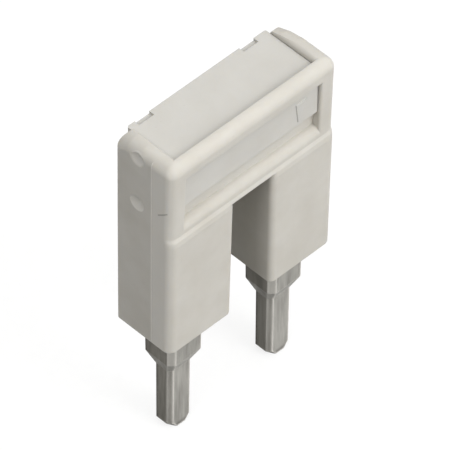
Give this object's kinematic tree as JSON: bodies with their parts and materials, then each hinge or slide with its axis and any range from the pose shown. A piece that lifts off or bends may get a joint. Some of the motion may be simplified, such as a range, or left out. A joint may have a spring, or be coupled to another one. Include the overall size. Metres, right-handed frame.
{
  "type": "terminal block jumper bar",
  "caption": "Plug-in jumper bar that links neighbouring terminal blocks: an insulated grip with a label window and thick coined copper pins.",
  "frame": {"origin": "midway between the two pins, in the plane of the feet of the housing that seat on the terminal blocks", "axes": "+X along the row of pins, +Y towards the plain rear face, so the label window faces -Y, +Z from the pins up to the grip"},
  "size_m": [0.0406, 0.0145, 0.0741],
  "materials": {
    "housing_plastic": "fine satin moulding, warm light grey",
    "cover_plastic": "fine satin moulding, slightly greyer",
    "plated_copper": "dull tin plate on copper"
  },
  "bodies": {
    "root": {"housing": "housing_plastic", "cover": "cover_plastic", "copper_bar": "plated_copper"}
  },
  "joints": []
}
